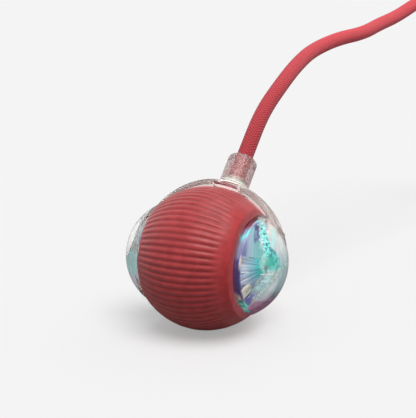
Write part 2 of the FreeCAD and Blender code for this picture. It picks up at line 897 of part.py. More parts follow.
def chord(height, degrees, sign, x_from, x_to):
    """The space beyond a straight edge across the film, the edge turned about the axle."""
    far = sign * 2.0 * film_radius
    space = block(x_from, x_to, -film_radius, film_radius, min(height, far), max(height, far))
    space.rotate(CENTRE, AXLE, degrees)
    return space


def clear_of_bosses(film, side):
    """Cuts the film back round the screw bosses inside a dome."""
    for head, inward in cowl_screw_places():
        if head.x * side > 0:
            boss = Part.makeCylinder(screw_head_radius + boss_gap, cowl_screw_length + boss_gap,
                                     head, inward)
            film = film.cut(boss)
    return film


def light_plate():
    """Iridescent film on the right dome's flange: a rim, an upper half and a lower segment."""
    front = film_x - cut_margin
    back = film_x + cut_margin
    film = rod(film_radius, film_x, film_x + film_thickness)
    upper = chord(film_upper_edge, film_tilt, 1, front, back)
    lower = chord(film_lower_edge, film_lower_tilt, -1, front, back).cut(bar(bracket_slot_gap, front, back))
    window = rod(film_bore, front, back).cut([upper, lower])
    return clear_of_bosses(film.cut(window), 1)


def prism(grow):
    """Faceted crystal that spreads the light: a girdle, a cone of flat faces and a flat table."""
    body = []
    stations = (
        (prism_radius + grow, 0.0),
        (prism_radius + grow, prism_girdle),
        (prism_table + grow, prism_height),
    )
    for (radius, lift), (next_radius, next_lift) in zip(stations, stations[1:]):
        wires = []
        for reach, height in ((radius, lift), (next_radius, next_lift)):
            corners = [spoke(reach, 360.0 * number / prism_sides, right_floor_x + height)
                       for number in range(prism_sides)]
            wires.append(Part.makePolygon(corners + corners[:1]))
        body.append(Part.makeLoft(wires, True, True))
    under_film = chord(film_upper_edge - prism_gap + grow, film_tilt, 1,
                       film_x - prism_gap + grow, right_floor_x + 2.0 * prism_height)
    return body[0].fuse(body[1]).removeSplitter().cut(under_film)


def prism_right():
    return prism(0.0).cut(rod(led_radius + glue_gap, right_floor_x, right_floor_x + led_length + led_end_gap))


def led(x_from, side, centre=(0.0, 0.0)):
    far = x_from + side * (led_length - led_radius)
    body = rod(led_radius, min(x_from, far), max(x_from, far), centre)
    return body.fuse(Part.makeSphere(led_radius, point(far, centre[0], centre[1])))


def light_ring():
    """Iridescent ring round the control pod, on the left dome's flange."""
    ring = tube(film_radius, pod_radius + 2.0 * glue_gap, -film_x - film_thickness, -film_x)
    return clear_of_bosses(ring, -1)


def bar(grow, x_from, x_to):
    """The cream bar's outline across the lower front of the spigot's mouth."""
    near = -spigot_radius
    body = block(x_from, x_to, near - grow, near + bracket_length + grow,
                 bracket_rise - grow, bracket_rise + bracket_width + grow)
    body.rotate(CENTRE, AXLE, bracket_tilt)
    return body


def bracket_right():
    """Cream bar that rests on the right spigot's end, with two screw holes."""
    end_x = spigot_end_x + bracket_thickness
    body = bar(0.0, spigot_end_x, end_x).common(rod(spigot_radius - glue_gap, spigot_end_x, end_x))
    for inset in bracket_hole_places:
        hole = rod(bracket_hole_radius, spigot_end_x - cut_margin, spigot_end_x + cut_margin,
                   (inset - spigot_radius, bracket_rise + bracket_width / 2.0))
        hole.rotate(CENTRE, AXLE, bracket_tilt)
        body = body.cut(hole)
    return body.cut(prism(prism_gap))


def build():
    os.makedirs("parts", exist_ok=True)
    keep("tyre", tyre())
    keep("drum_left", drum_left())
    keep("drum_right", drum_shell(drum_split_x, 1))
    keep("bush_right", bush())
    keep("bush_left", mirrored(bush()))
    keep("drive_ring", drive_ring())
    keep("second_idler", second_idler())
    keep("first_idler", first_idler())
    keep("motor_pinion", motor_pinion())
    keep("core_right", core_right())
    keep("core_left", core_left())
    keep("core_screws", core_screws())
    keep("gear_plate", gear_plate())
    keep("gear_pins", gear_pins())
    keep("motor", motor())
    keep("battery", battery())
    keep("battery_pad", battery_pad())
    keep("dome_right", dome(1))
    keep("dome_left", dome(-1))
    keep("tail_cowl", tail_cowl())
    keep("cowl_screws", cowl_screws())
    keep("tail_plug", tail_plug())
    keep("tail_retainer", tail_retainer())
    keep("tail_cord", cord_tube(), about_centre=False)
    keep("tail_tip", tail_tip(), about_centre=False)
    keep("control_pod", control_pod())
    keep("charge_port", charge_port())
    keep("circuit_board", circuit_board())
    keep("power_button", power_button())
    keep("power_switch", power_switch())
    keep("light_plate", light_plate())
    keep("light_ring", light_ring())
    keep("prism_right", prism_right())
    keep("led_right", led(right_floor_x, 1))
    keep("bracket_right", bracket_right())


build()
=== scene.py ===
import math

import bmesh
import bpy
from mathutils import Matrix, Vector


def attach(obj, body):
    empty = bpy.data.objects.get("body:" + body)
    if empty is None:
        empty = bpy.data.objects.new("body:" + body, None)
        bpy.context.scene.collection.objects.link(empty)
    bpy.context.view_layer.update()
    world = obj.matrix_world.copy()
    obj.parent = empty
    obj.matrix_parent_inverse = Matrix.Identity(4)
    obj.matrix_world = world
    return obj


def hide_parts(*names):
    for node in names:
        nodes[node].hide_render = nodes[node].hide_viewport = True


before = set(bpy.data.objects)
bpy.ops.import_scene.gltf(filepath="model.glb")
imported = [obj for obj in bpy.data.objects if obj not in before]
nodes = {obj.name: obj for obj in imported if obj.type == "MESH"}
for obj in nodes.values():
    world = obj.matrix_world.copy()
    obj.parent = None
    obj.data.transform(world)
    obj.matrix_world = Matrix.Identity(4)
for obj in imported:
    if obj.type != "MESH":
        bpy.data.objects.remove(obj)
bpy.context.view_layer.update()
scene = bpy.context.scene
scene.view_settings.view_transform = "Standard"


# Camera. It looks down a little at the ball from its right front, and takes in the first half of the
# rope. The place, the two angles and the lens give the photograph's perspective.
camera_place = (0.12654, -0.26003, 0.10132)
camera_yaw = 25.85
camera_pitch = 12.621
camera_lens = 86.24

camera = bpy.data.objects.new("camera", bpy.data.cameras.new("camera"))
scene.collection.objects.link(camera)
camera.location = camera_place
camera.rotation_euler = (math.radians(90.0 - camera_pitch), 0.0, math.radians(camera_yaw))
camera.data.lens = camera_lens
camera.data.clip_start = 0.01
scene.camera = camera


# Floor and light. A white table that fills the view, under an even white room and one wide, soft
# lamp overhead, so that the ball keeps a soft contact shadow.
def colour(code):
    """An sRGB hex value as the linear colour that a shader takes."""
    parts = [int(code[start:start + 2], 16) / 255.0 for start in (1, 3, 5)]
    return [part / 12.92 if part <= 0.04045 else ((part + 0.055) / 1.055) ** 2.4
            for part in parts] + [1.0]


def plug(node, inputs):
    """Links or sets a node's inputs, named in a dictionary or else in their order."""
    open_inputs = [socket for socket in node.inputs if socket.enabled]
    pairs = inputs.items() if isinstance(inputs, dict) else zip(open_inputs, inputs)
    for key, value in pairs:
        socket = node.inputs[key] if isinstance(key, str) else key
        if isinstance(value, bpy.types.NodeSocket):
            node.id_data.links.new(value, socket)
        else:
            socket.default_value = value


def add(owner, kind, inputs=(), output=None, stops=(), **settings):
    """Adds a shader node and gives its output, the first open one or the one named.

    Stops are the (place, hex colour) pairs of a smooth colour scale.
    """
    made = owner.node_tree.nodes.new("ShaderNode" + kind)
    for name, setting in settings.items():
        setattr(made, name, setting)
    if stops:
        scale = made.color_ramp
        scale.interpolation = "EASE"
        while len(scale.elements) < len(stops):
            scale.elements.new(0.5)
        for element, (place, code) in zip(scale.elements, stops):
            element.position = place
            element.color = colour(code)
    plug(made, inputs)
    if output:
        return made.outputs[output]
    return next((socket for socket in made.outputs if socket.enabled), None)


floor_size = 30.0
room_strength = 0.40
backdrop_strength = 0.905
lamp_strength = 2.16
lamp_spread = 46.0
lamp_direction = (-0.24, 0.24, -0.9)
table_gleam = 0.33

shape = bmesh.new()
bmesh.ops.create_grid(shape, x_segments=1, y_segments=1, size=floor_size)
mesh = bpy.data.meshes.new("floor")
shape.to_mesh(mesh)
shape.free()
floor = bpy.data.objects.new("floor", mesh)
scene.collection.objects.link(floor)

# White laminate: an even white to the eye, a little duller where its light falls back on the ball
table = bpy.data.materials.new("white_laminate")
table.use_nodes = True
table.node_tree.nodes.clear()
seen = add(table, "Math", (add(table, "LightPath", output="Is Camera Ray"),
                           add(table, "LightPath", output="Is Transmission Ray")),
           operation="MAXIMUM")
dull = add(table, "BsdfDiffuse", {"Color": colour("#8a8a8a")})
white = add(table, "BsdfDiffuse", {"Color": colour("#c4c4c4")})
gleam = add(table, "Emission", {"Color": colour("#ffffff"), "Strength": table_gleam})
white = add(table, "AddShader", (white, gleam))
add(table, "OutputMaterial", {"Surface": add(table, "MixShader", (seen, dull, white))})
floor.data.materials.append(table)

room = bpy.data.worlds.new("room")
room.use_nodes = True
room.node_tree.nodes.clear()
seen = add(room, "Math", (add(room, "LightPath", output="Is Camera Ray"),
                          add(room, "LightPath", output="Is Transmission Ray")),
           operation="MAXIMUM")
seen = add(room, "Math", (seen, add(room, "LightPath", output="Is Glossy Ray")), operation="MAXIMUM")
light = add(room, "MapRange", {"Value": seen, "To Min": room_strength, "To Max": backdrop_strength})
sky = add(room, "Background", {"Color": colour("#ffffff"), "Strength": light})
add(room, "OutputWorld", {"Surface": sky})
scene.world = room

lamp = bpy.data.objects.new("softbox", bpy.data.lights.new("softbox", "SUN"))
scene.collection.objects.link(lamp)
lamp.data.energy = lamp_strength
lamp.data.angle = math.radians(lamp_spread)
lamp.rotation_euler = Vector(lamp_direction).to_track_quat("-Z", "Y").to_euler()


# Tyre. A belt of red silicone cut from a ball 43 mm across, with 66 rounded ribs along its meridians
# that reach the left rim and fade out before the smooth right shoulder. Its side faces end in a
# thick lip round a wide hole.
ball_centre = Vector((0.0, 0.0, 0.0215))
tread_radius = 0.0215
tread_margin = 0.0004
shoulder_x = 0.0145
shoulder_round = 0.0003
lip_x = 0.01495
lip_hole = 0.01335
lip_inner_x = 0.0128
lip_round = 0.0004
belt_inner = 0.0200
rib_count = 66
rib_steps = 12
rib_depth = 0.00024
rib_sharpness = 1.3
rib_fade = (0.0128, 0.0092)
left_fade = (0.0144, 0.0128)


def rounded(corners, steps=4):
    """Points along (x, radius, round) corners, each corner replaced by an arc of its round."""
    points = []
    for number, (x, radius, size) in enumerate(corners):
        here = Vector((x, radius))
        if size == 0.0:
            points.append(here)
            continue
        before = Vector(corners[number - 1][:2])
        after = Vector(corners[(number + 1) % len(corners)][:2])
        homeward = (before - here).normalized()
        onward = (after - here).normalized()
        half = homeward.angle(onward) / 2.0
        reach = size / math.tan(half)
        centre = here + (homeward + onward).normalized() * size / math.sin(half)
        first = here + homeward * reach - centre
        last = here + onward * reach - centre
        for step in range(steps + 1):
            points.append(centre + first.slerp(last, step / steps).normalized() * size)
    return points


def lathe(name, points, steps, closed=True):
    """A piece turned about the axle from (x, radius) points."""
    shape = bmesh.new()
    corners = [shape.verts.new(ball_centre + Vector((x, 0.0, radius))) for x, radius in points]
    line = [shape.edges.new(pair) for pair in zip(corners, corners[1:])]
    if closed:
        line.append(shape.edges.new((corners[-1], corners[0])))
    bmesh.ops.spin(shape, geom=corners + line, cent=ball_centre, axis=(1.0, 0.0, 0.0),
                   angle=2.0 * math.pi, steps=steps, use_merge=True)
    bmesh.ops.remove_doubles(shape, verts=shape.verts, dist=1e-7)
    bmesh.ops.recalc_face_normals(shape, faces=shape.faces)
    mesh = bpy.data.meshes.new(name)
    shape.to_mesh(mesh)
    shape.free()
    mesh.shade_smooth()
    piece = bpy.data.objects.new(name, mesh)
    scene.collection.objects.link(piece)
    return piece


def arc(radius, x_from, x_to, count):
    """(x, radius, round) points along the ball's surface."""
    first = math.asin(x_from / radius)
    last = math.asin(x_to / radius)
    turns = [first + (last - first) * step / count for step in range(count + 1)]
    return [(radius * math.sin(turn), radius * math.cos(turn), 0.0) for turn in turns]


shoulder = math.sqrt(tread_radius ** 2 - shoulder_x ** 2)
right_face = [(shoulder_x, shoulder, shoulder_round), (lip_x, lip_hole, lip_round),
              (lip_inner_x, lip_hole, 0.0)]
left_face = [(-x, radius, size) for x, radius, size in reversed(right_face)]
tread = arc(tread_radius, -shoulder_x + tread_margin, shoulder_x - tread_margin, 44)
inside = arc(belt_inner, lip_inner_x, -lip_inner_x, 10)
belt = lathe("tread_belt", rounded(tread + right_face + inside + left_face), rib_count * rib_steps)
groove = belt.data.attributes.new("groove", "FLOAT", "POINT")
for vertex in belt.data.vertices:
    place = vertex.co - ball_centre
    end, start = rib_fade if place.x > 0.0 else left_fade
    fade = min(max((end - abs(place.x)) / (end - start), 0.0), 1.0)
    fade = fade * fade * (3.0 - 2.0 * fade)
    if place.length > tread_radius - 0.0001:
        turn = math.atan2(place.y, place.z)
        valley = (0.5 - 0.5 * math.cos(rib_count * turn)) ** rib_sharpness * fade
        vertex.co -= place.normalized() * rib_depth * valley
        groove.data[vertex.index].value = valley


def blank(name):
    """A new material, and its main shader."""
    made = bpy.data.materials.new(name)
    made.use_nodes = True
    return made, made.node_tree.nodes["Principled BSDF"]


def in_mm(owner):
    """The piece's own coordinates in millimetres."""
    place = add(owner, "TexCoord", output="Object")
    return add(owner, "VectorMath", {"Vector": place, "Scale": 1000.0}, operation="SCALE")


# Silicone rubber: matt, a little dusty, with a pale bloom where it turns away from the eye. Its
# grain is too fine to show, so it is drawn 0.16 mm wide.
silicone, shader = blank("silicone_red")
depth = add(silicone, "Attribute", attribute_name="groove", output="Fac")
# Painted shade: the ribs' valleys are painted a darker red, deepest where the groove is deepest.
tone = add(silicone, "ValToRGB", (depth,), stops=((0.0, "#c04144"), (0.5, "#b73c3f"), (1.0, "#a83539")))
beside = add(silicone, "Math", (add(silicone, "SeparateXYZ", (in_mm(silicone),)),),
             operation="ABSOLUTE")
# Painted shade: the shoulders and side faces take a deeper, darker red than the tread's crests.
side = add(silicone, "MapRange", (beside, 11.8, 13.6))
tone = add(silicone, "Mix", (side, tone, colour("#bf363a")), data_type="RGBA")
drift = add(silicone, "TexNoise", {"Vector": in_mm(silicone), "Scale": 1.0 / 2.5, "Detail": 3.0})
dust = add(silicone, "ValToRGB", (drift,), stops=((0.3, "#e8e0e0"), (0.7, "#ffffff")))
wear = add(silicone, "TexNoise", {"Vector": in_mm(silicone), "Scale": 1.0 / 1.2, "Detail": 3.0})
grain = add(silicone, "TexNoise", {"Vector": in_mm(silicone), "Scale": 1.0 / 0.16, "Detail": 3.0})
plug(shader, {
    "Base Color": add(silicone, "Mix", (1.0, tone, dust), data_type="RGBA", blend_type="MULTIPLY"),
    "Roughness": add(silicone, "ValToRGB", (wear,), stops=((0.3, "#969696"), (0.7, "#a8a8a8"))),
    "Normal": add(silicone, "Bump", {"Height": grain, "Distance": 0.000005}),
    "Sheen Weight": 0.3, "Sheen Roughness": 0.5, "Sheen Tint": colour("#ffdada"),
    "Specular IOR Level": 0.32})
belt.data.materials.append(silicone)
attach(belt, "wheel")
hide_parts("tyre")


# Wheel drum, bushes and drive ring. Two half drums of dark ABS glued under the belt, low-friction
# bushes that run on the core, and the ring gear that the train drives, glued inside the drum.
def dress(material, *names):
    """Gives CAD nodes a material in all their slots."""
    for name in names:
        for slot in nodes[name].material_slots:
            slot.material = material


def moulded(name, code, darker, roughness, grain=0.25, depth=0.006, metal=0.0):
    """A moulded or drawn surface: a faint drift between two tones, and a grain in relief.

    The drift is 3 mm wide and the wear 1.5 mm. Real grain is too fine to show, so it is drawn
    0.25 mm wide.
    """
    made, shader = blank(name)
    drift, wear, skin = (add(made, "TexNoise", {"Vector": in_mm(made), "Scale": 1.0 / size,
                                                "Detail": 3.0}) for size in (3.0, 1.5, grain))
    plug(shader, {
        "Base Color": add(made, "ValToRGB", (drift,), stops=((0.35, darker), (0.65, code))),
        "Roughness": add(made, "Math", (wear, 0.12, roughness - 0.06), operation="MULTIPLY_ADD"),
        "Normal": add(made, "Bump", {"Height": skin, "Distance": depth / 1000.0}),
        "Metallic": metal})
    return made


# Moulded ABS: dark and half matt, and acetal: white, smooth and slightly waxy
dress(moulded("abs_charcoal", "#2b2d33", "#24262b", 0.45), "drum_left", "drum_right")
dress(moulded("acetal_white", "#ecebe6", "#e2e0da", 0.35), "bush_left", "bush_right", "drive_ring")


# Gear train. Two white acetal idlers on steel pins, and a brass pinion on the motor's shaft. The
# cut brass shines yellow, and the turned steel of the pins, screws and motor's can shines grey.
dress(moulded("acetal_gear", "#f1f0ea", "#e6e4dc", 0.32), "second_idler", "first_idler")
dress(moulded("brass", "#d8b25c", "#c49a45", 0.28, metal=1.0), "motor_pinion")
dress(moulded("steel_turned", "#c9cbce", "#b7babd", 0.25, metal=1.0), "gear_pins", "motor",
      "core_screws", "cowl_screws")


# Core. Two dark ABS cups that stay still inside the wheel, with the gear plate, battery and pad.
# The right cup's spigot shows through the dome as a deep indigo wall with a polished gloss.
core, shader = blank("abs_indigo")
drift = add(core, "TexNoise", {"Vector": in_mm(core), "Scale": 1.0 / 1.4, "Detail": 3.0})
grain = add(core, "TexNoise", {"Vector": in_mm(core), "Scale": 1.0 / 0.3, "Detail": 3.0})
plug(shader, {
    "Base Color": add(core, "Mix", (drift, colour("#25244a"), colour("#34305f")), data_type="RGBA"),
    "Roughness": 0.22, "Normal": add(core, "Bump", {"Height": grain, "Distance": 0.00001}),
    "Coat Weight": 0.4})
dress(core, "core_right", "core_left")

# Grey ABS plate, the cell's smooth shrink film, and a soft, open-grained foam under it
dress(moulded("abs_grey", "#8a8d92", "#7f8287", 0.45), "gear_plate")
dress(moulded("battery_film", "#3a66a8", "#345c99", 0.3), "battery")
dress(moulded("foam_black", "#232323", "#1b1b1b", 0.9, grain=0.4, depth=0.08), "battery_pad")


# Light parts. An iridescent film behind the right dome leaves a window, and a fluted crystal over
# the lamp reaches through it. A pale bar with two holes lies across the foot of the window.
axle_height = 21.5


def about_axle(owner):
    """The place along the axle, the radius and turn about it, and the places back and up, in mm."""
    along, back, top = (add(owner, "SeparateXYZ", (in_mm(owner),), output=name) for name in "XYZ")
    up = add(owner, "Math", (top, axle_height), operation="SUBTRACT")
    radius = add(owner, "VectorMath", (add(owner, "CombineXYZ", (back, up)),), operation="LENGTH")
    turn = add(owner, "Math", (back, up), operation="ARCTAN2")
    return along, radius, turn, back, up


def within(owner, *bands):
    """1 inside every (value, low, high, soft) band, falling to 0 over its soft edge outside.

    An end that is None is open.
    """
    share = 1.0
    for value, low, high, soft in bands:
        for inner, outer in ((low, -soft), (high, soft)):
            if inner is not None:
                part = add(owner, "MapRange", (value, inner + outer, inner))
                share = add(owner, "Math", (share, part), operation="MULTIPLY")
    return share


# Pearl film: it turns from lavender to grey-green across the window, with soft upright streaks, an
# indigo wedge at its top, dark facets, a pale strip and a row of studs low down, and bright edges
# that are painted cyan highlights. The film glows faintly in its own colours, painted light.
film, shader = blank("pearl_film")
_, radius, turn, back, up = about_axle(film)
tone = add(film, "ValToRGB", (add(film, "MapRange", (back, -12.0, 6.0)),), stops=(
    (0.0, "#6c6d92"), (0.17, "#7a819d"), (0.33, "#b0bccc"), (0.47, "#aad0d2"), (0.72, "#8fcdc9"),
    (1.0, "#60c8bf")))
drawn = add(film, "VectorMath", (in_mm(film), (0.0, 1.6, 0.18)), operation="MULTIPLY")
streak = add(film, "TexNoise", {"Vector": drawn, "Scale": 1.0, "Detail": 4.0})
pearl = add(film, "ValToRGB", (streak,), stops=((0.35, "#8f90b4"), (0.5, "#a0a0b8"), (0.65, "#d0d2df")))
tone = add(film, "Mix", (0.45, tone, pearl), data_type="RGBA", blend_type="OVERLAY")
facet = add(film, "TexVoronoi", {"Vector": in_mm(film), "Scale": 0.45}, distance="CHEBYCHEV",
            output="Color")
indigo = add(film, "ValToRGB", (facet,), stops=((0.25, "#46437f"), (0.5, "#6670a8"), (0.75, "#98b2d0")))
wedge = within(film, (back, -2.6, 6.0, 0.6), (up, 7.2, 13.0, 0.5))
tone = add(film, "Mix", (wedge, tone, indigo), data_type="RGBA")
segment = within(film, (up, -14.0, -5.0, 0.1))
tone = add(film, "Mix", (segment, tone, indigo), data_type="RGBA")
strip = within(film, (back, -4.5, 8.5, 0.3), (up, -10.9, -9.9, 0.3))
tone = add(film, "Mix", (strip, tone, colour("#9fa69a")), data_type="RGBA")
flat = add(film, "VectorMath", (in_mm(film), (0.0, 0.9, 0.9)), operation="MULTIPLY")
stud = add(film, "TexVoronoi", {"Vector": flat, "Scale": 1.0, "Randomness": 0.25}, output="Distance")
row = within(film, (stud, None, 0.3, 0.12), (back, -3.4, 4.0, 0.2), (up, -9.6, -8.2, 0.1))
tone = add(film, "Mix", (row, tone, colour("#dfe6e8")), data_type="RGBA")
# Painted highlights: cyan patches round the film's rim, among its lavender and indigo.
rim = within(film, (radius, 12.4, 14.0, 0.2))
hoop = add(film, "ValToRGB", (add(film, "MapRange", (turn, -math.pi, math.pi)),), stops=(
    (0.0, "#57c9c4"), (0.06, "#7fd8c8"), (0.11, "#46c4ad"), (0.16, "#483a66"), (0.26, "#443968"),
    (0.3, "#c9bcb0"), (0.33, "#6f6aa8"), (0.38, "#7d7fa8"), (0.41, "#63dcd8"), (0.45, "#8b8eb2"),
    (0.54, "#4fd0cc"), (0.62, "#3b3a70"), (0.8, "#4fb9b4"), (0.92, "#4a6cc0"), (1.0, "#57c9c4")))
tone = add(film, "Mix", (rim, tone, hoop), data_type="RGBA")
# The emission is painted light: the film glows as if the lamp lit it from behind.
plug(shader, {
    "Base Color": tone, "Roughness": 0.4, "Coat Weight": 0.15, "Coat Roughness": 0.2,
    "Emission Color": tone, "Emission Strength": 0.22,
    "Normal": add(film, "Bump", {"Height": streak, "Distance": 0.00002})})
dress(film, "light_plate", "light_ring")

# Crystal: a girdle and a cone of narrow flutes, blunt at its tip, cut back under the film's edge
crystal_floor = 0.01115
crystal_girdle = 0.01435
crystal_end = 0.01925
crystal_radius = 0.0082
crystal_table = 0.0020
flutes = 40
flute_share = 0.95
film_back = 0.01595
film_edge_rise = 0.0018
film_tilt = math.radians(16.0)

prism = lathe("prism_facets", (
    (crystal_floor, 0.0), (crystal_floor, crystal_radius), (crystal_girdle, crystal_radius),
    (crystal_end, crystal_table), (crystal_end, 0.0)), flutes, closed=False)
for vertex in prism.data.vertices:
    place = vertex.co - ball_centre
    turn = round(math.atan2(place.y, place.z) / (2.0 * math.pi) * flutes)
    if turn % 2 and place.yz.length > 0.001:
        vertex.co.yz = ball_centre.yz + place.yz * flute_share
outward = Vector((1.0, 0.0, 0.0))
upward = Vector((0.0, math.sin(film_tilt), math.cos(film_tilt)))
under_film = outward * film_back
edge_place = ball_centre + upward * film_edge_rise
shape = bmesh.new()
shape.from_mesh(prism.data)
for spot, facing in ((under_film, outward), (edge_place, upward)):
    bmesh.ops.bisect_plane(shape, geom=shape.verts[:] + shape.edges[:] + shape.faces[:], dist=1e-7,
                           plane_co=spot, plane_no=facing)
gone = [face for face in shape.faces
        if face.calc_center_median().x > film_back
        and (face.calc_center_median() - edge_place).dot(upward) > 0.0]
bmesh.ops.delete(shape, geom=gone, context="FACES")
open_edges = [edge for edge in shape.edges if edge.is_boundary]
corners = {corner for edge in open_edges for corner in edge.verts
           if abs(corner.co.x - film_back) < 1e-7
           and abs((corner.co - edge_place).dot(upward)) < 1e-7}
ledge = shape.edges.new(tuple(corners))
roof = [edge for edge in open_edges if all(abs(end.co.x - film_back) < 1e-7 for end in edge.verts)]
wall = [edge for edge in open_edges if edge not in roof]
for rim in (roof, wall):
    bmesh.ops.contextual_create(shape, geom=rim + [ledge])
bmesh.ops.recalc_face_normals(shape, faces=shape.faces)
shape.to_mesh(prism.data)
shape.free()
prism.data.shade_flat()

# Coated crystal: painted rays of pale blue and grey light run out from its tip, where the lamp's green
# glow is painted, and the whole crystal glows in these colours, painted light.
crystal, shader = blank("prism_film")
_, radius, turn, _, _ = about_axle(crystal)
tone = add(crystal, "ValToRGB", (add(crystal, "MapRange", (radius, 0.0, 8.4)),), stops=(
    (0.0, "#1d4a50"), (0.12, "#1f5f62"), (0.2, "#35cfae"), (0.38, "#4bb0aa"), (0.6, "#84a9b4"),
    (0.8, "#b4b6c2"), (1.0, "#a3a2be")))
ray = add(crystal, "TexNoise", {"W": add(crystal, "Math", (turn, 9.0), operation="MULTIPLY"),
                                "Scale": 1.0, "Detail": 3.0}, noise_dimensions="1D")
rays = add(crystal, "ValToRGB", (ray,), stops=((0.3, "#56768f"), (0.5, "#aeb8c2"), (0.68, "#f0f7f8")))
tone = add(crystal, "Mix", (0.6, tone, rays), data_type="RGBA", blend_type="OVERLAY")
# The emission is painted light from the lamp.
plug(shader, {
    "Base Color": tone, "Roughness": 0.15, "Metallic": 0.2, "Coat Weight": 0.6,
    "Emission Color": tone, "Emission Strength": 0.3})
prism.data.materials.append(crystal)
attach(prism, "shell")
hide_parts("prism_right")

# Lit resin: a pale green glow that hides the lamp's own parts
glow, shader = blank("led_lens")
plug(shader, {"Base Color": colour("#bff5e4"), "Roughness": 0.2,
              "Emission Color": colour("#7fe8cf"), "Emission Strength": 0.6})
dress(glow, "led_right")

# Cream ABS: a warm, matt bar that stays pale behind the clear dome
dress(moulded("abs_cream", "#e2d8cc", "#d2c7b8", 0.5), "bracket_right")


# Control pod. A white ABS pod stands in the left dome and holds a small board with the charging
# socket and a side-pushed switch, and its round button slides in the pod's face.
# The pod's ABS has an eggshell gloss, the board its green mask, the switch is matt black, and the
# stamped steel of the socket shines.
dress(moulded("abs_white", "#eceae6", "#e2e0db", 0.38), "control_pod", "power_button")
dress(moulded("board_green", "#2f6b4a", "#285c40", 0.4), "circuit_board")
dress(moulded("abs_black", "#1d1d20", "#17171a", 0.5), "power_switch")
dress(moulded("steel_stamped", "#c4c6c8", "#b2b4b6", 0.3, metal=1.0), "charge_port")


# Clear shells. Two moulded polycarbonate domes that clip on the core's spigots, and the cowl that
# four screws hold over the back of the tyre. All are clear, and the domes carry a faint inner haze.
def let_light_through(owner, shader):
    """Makes shadow rays pass a clear material, so that the lamps reach what is under it."""
    open_way = add(owner, "BsdfTransparent", {"Color": colour("#ffffff")})
    mixed = add(owner, "MixShader", (add(owner, "LightPath", output="Is Shadow Ray"),
                                     shader.outputs[0], open_way))
    plug(owner.node_tree.nodes["Material Output"], {"Surface": mixed})


def towards(owner, direction):
    """How far a place lies from the ball's centre along a direction, in millimetres."""
    place = add(owner, "VectorMath", (in_mm(owner), (0.0, 0.0, axle_height)), operation="SUBTRACT")
    return add(owner, "VectorMath", (place, direction), operation="DOT_PRODUCT")


def past_line(owner, flat, place, direction):
    """How far an (across, rise) point lies past a slanting line through a place."""
    offset = add(owner, "VectorMath", (flat, (*place, 0.0)), operation="SUBTRACT")
    return add(owner, "VectorMath", (offset, (*direction, 0.0)), operation="DOT_PRODUCT")


# Three directions fixed to the ball: to the right, up and forwards as its right front is seen. The
# patterns on the clear shells lie along them, in millimetres from the ball's centre.
to_right = (0.9, 0.436, 0.0)
to_top = (-0.0953, 0.1966, 0.9758)
to_front = (0.4255, -0.8782, 0.2185)
dome_middle = 8.363
dome_bore = 15.285

